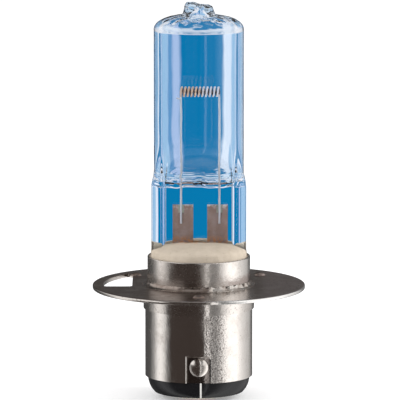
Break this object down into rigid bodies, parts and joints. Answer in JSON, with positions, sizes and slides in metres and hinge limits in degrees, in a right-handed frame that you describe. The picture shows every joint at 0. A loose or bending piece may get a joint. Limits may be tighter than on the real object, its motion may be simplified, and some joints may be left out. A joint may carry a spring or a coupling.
{
  "type": "headlight bulb",
  "caption": "Halogen headlight bulb: blue-tinted quartz capsule with a transverse filament, cemented in a bayonet cap with a prefocus flange ring.",
  "frame": {"origin": "on the lamp axis, in the upper reference face of the prefocus flange", "axes": "+Z along the lamp axis towards the glass tip, +X along the filament, -Y to the front, where one bayonet pin shows in its slot"},
  "size_m": [0.03, 0.03, 0.0562],
  "materials": {
    "quartz_glass": "clear quartz glass with a light blue tint",
    "tungsten_wire": "drawn tungsten wire, silver grey",
    "molybdenum": "dull grey brown rolled molybdenum",
    "weld_metal": "pale yellow weld metal",
    "cement": "matt cream ceramic cement",
    "nickel_plate": "worn bright nickel plate",
    "flange_plate": "satin nickel plate, grey brown",
    "solder": "soft solder, satin",
    "black_glass": "glossy black glass",
    "brass": "plain brass",
    "copper_wire": "tinned wire",
    "woven_sleeve": "woven glass fibre"
  },
  "bodies": {
    "root": {"glass_capsule": "quartz_glass", "filament_coil": "tungsten_wire", "inner_lead_left": "molybdenum", "inner_lead_right": "molybdenum", "sealing_foil_left": "molybdenum", "sealing_foil_right": "molybdenum", "weld_tab_left": "weld_metal", "weld_tab_right": "weld_metal", "outer_lead_left": "molybdenum", "outer_lead_right": "molybdenum", "ceramic_cement": "cement", "cap_shell": "nickel_plate", "bayonet_pin_front": "nickel_plate", "bayonet_pin_rear": "nickel_plate", "outer_sleeve": "nickel_plate", "focus_flange": "flange_plate", "solder_fillet": "solder", "live_wire": "copper_wire", "wire_sleeve": "woven_sleeve", "shell_wire": "copper_wire", "shell_weld": "solder", "base_insulator": "black_glass", "contact_plate": "brass", "contact_solder": "solder"}
  },
  "joints": []
}
